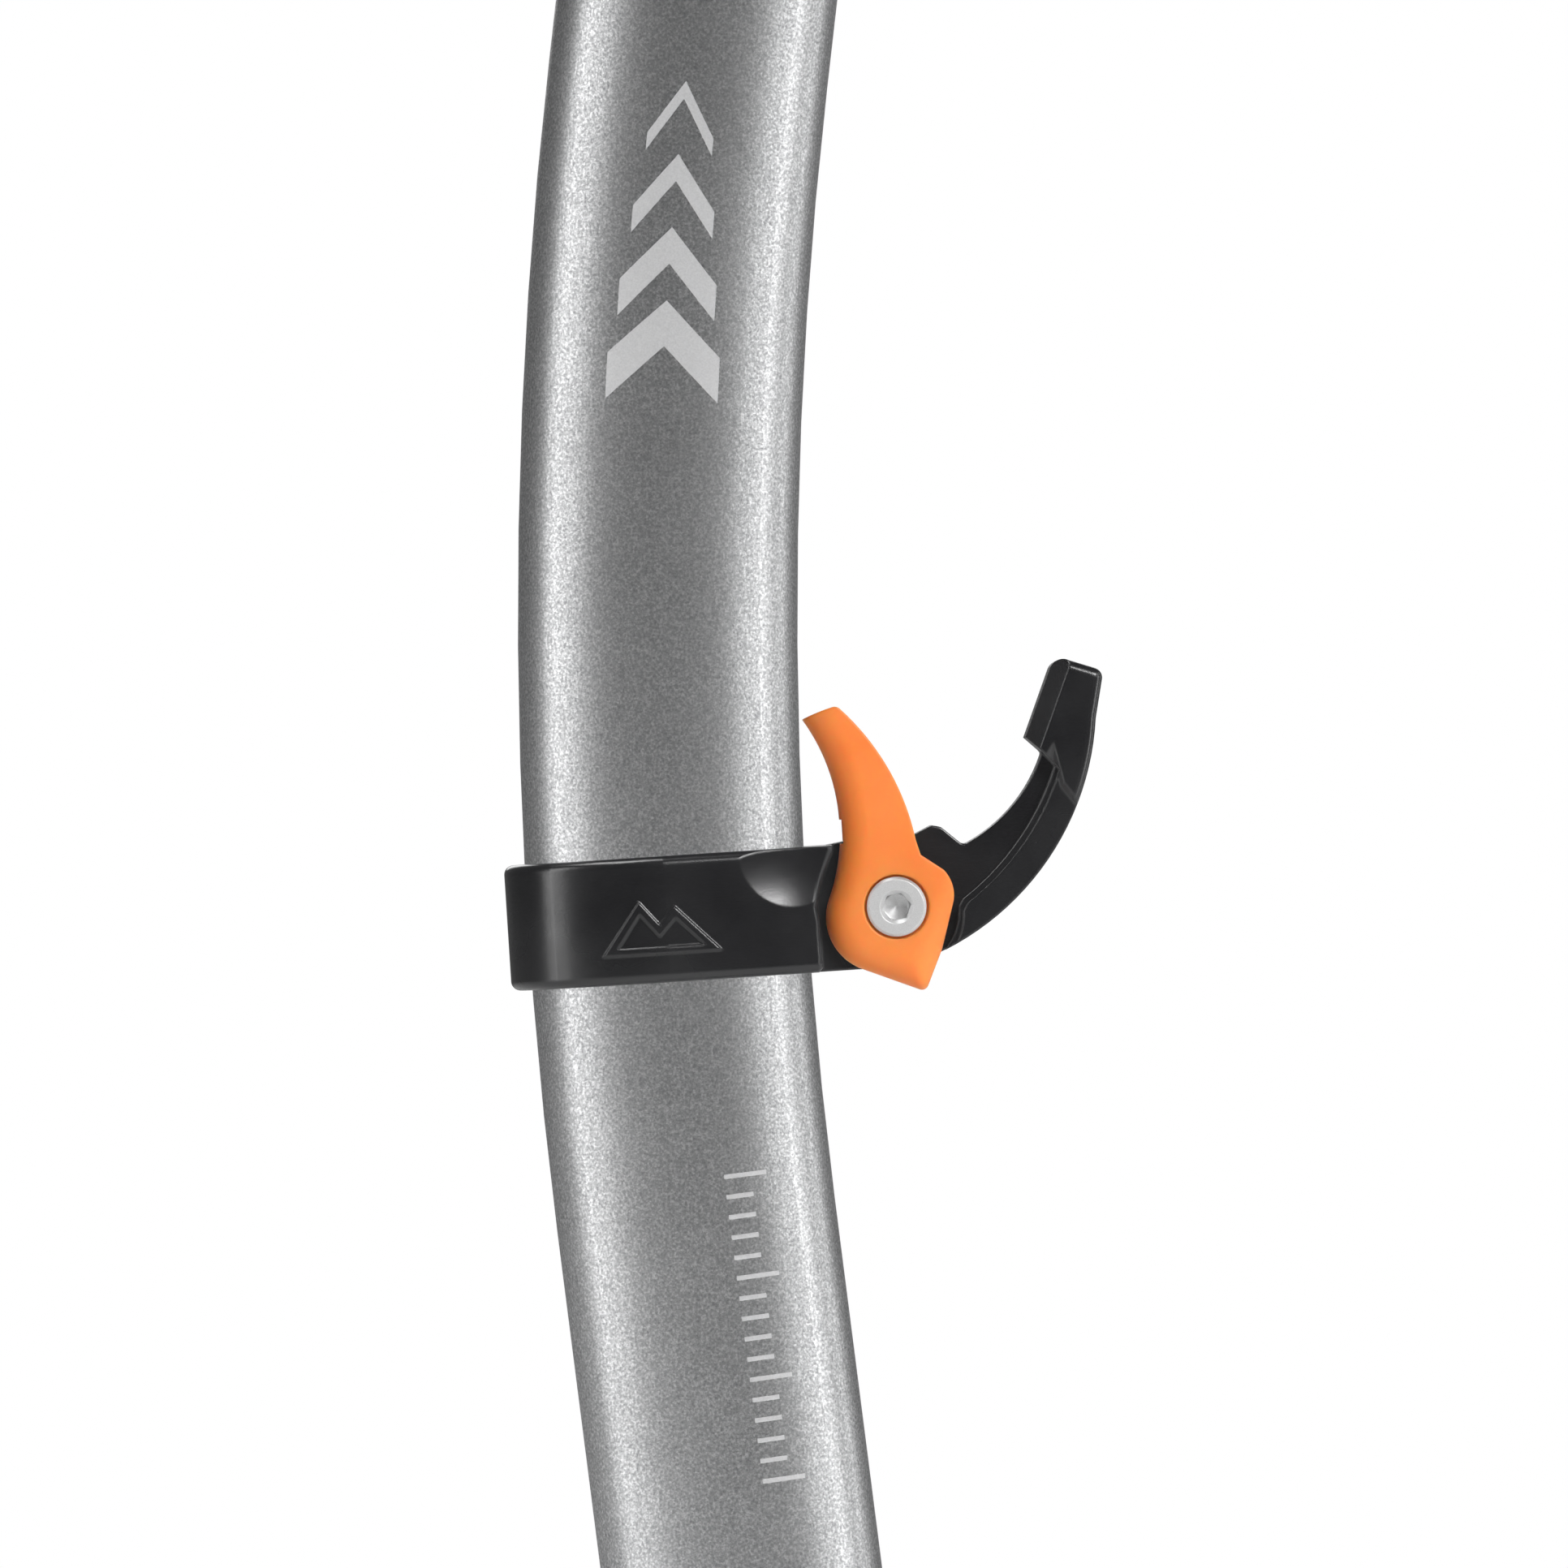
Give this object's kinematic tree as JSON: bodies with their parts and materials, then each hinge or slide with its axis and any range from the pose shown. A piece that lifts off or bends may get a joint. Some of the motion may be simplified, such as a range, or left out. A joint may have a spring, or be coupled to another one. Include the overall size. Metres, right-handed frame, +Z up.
{
  "type": "ice axe",
  "caption": "Technical ice axe: bent oval tube, slotted head with toothed pick and adze, spike, and a sliding hand rest clamped by a cam lever.",
  "frame": {"origin": "centre of the carabiner eye in the head", "axes": "+Z up towards the head along the axe, +X forward on the pick side, +Y across the flat sides"},
  "size_m": [0.2557, 0.062, 0.5192],
  "materials": {
    "shaft_aluminium": "bead blasted and anodised, fine speckle",
    "head_aluminium": "forged, dark anodised",
    "blade_steel": "ground and lightly brushed",
    "fastener_steel": "stainless, satin",
    "rivet_steel": "satin, domed",
    "black_plastic": "moulded nylon, semi-gloss",
    "orange_plastic": "moulded nylon, satin",
    "cam_plastic": "moulded acetal",
    "pad_rubber": "matt"
  },
  "bodies": {
    "axe": {"shaft": "shaft_aluminium", "head_body": "head_aluminium", "pick": "blade_steel", "adze": "blade_steel", "pick_bolt_front": "fastener_steel", "pick_bolt_rear": "fastener_steel", "adze_bolt": "fastener_steel", "pick_nut_front": "fastener_steel", "pick_nut_rear": "fastener_steel", "adze_nut": "fastener_steel", "head_rivet_upper": "rivet_steel", "head_rivet_lower": "rivet_steel", "spike_ferrule": "black_plastic", "spike": "blade_steel", "spike_rivet_lower": "rivet_steel", "spike_rivet_upper": "rivet_steel"},
    "hand_rest": {"rest_body": "black_plastic"},
    "lever": {"rest_lever": "orange_plastic", "drive_sleeve": "fastener_steel", "clamp_cam": "cam_plastic", "pivot_screw": "fastener_steel", "pivot_nut": "fastener_steel"},
    "shoe": {"clamp_shoe": "cam_plastic", "shoe_pad": "pad_rubber"}
  },
  "joints": [
    {"name": "rest_travel", "type": "hinge", "parent": "axe", "child": "hand_rest", "pos_m": [0.54338, 0, -0.17766], "axis": [0, 1, 0], "range_deg": [-2.8, 9.4]},
    {"name": "lever_turn", "type": "hinge", "parent": "hand_rest", "child": "lever", "pos_m": [0.01151, 0, -0.21235], "axis": [0, 1, 0], "range_deg": [0, 63]},
    {"name": "shoe_press", "type": "slide", "parent": "hand_rest", "child": "shoe", "axis": [-0.9979, 0, -0.0645], "range_m": [0, 0.000606]}
  ],
  "couplings": [
    {"joint": "shoe_press", "follows": "lever_turn", "m_per_rad": 0.0005417}
  ]
}
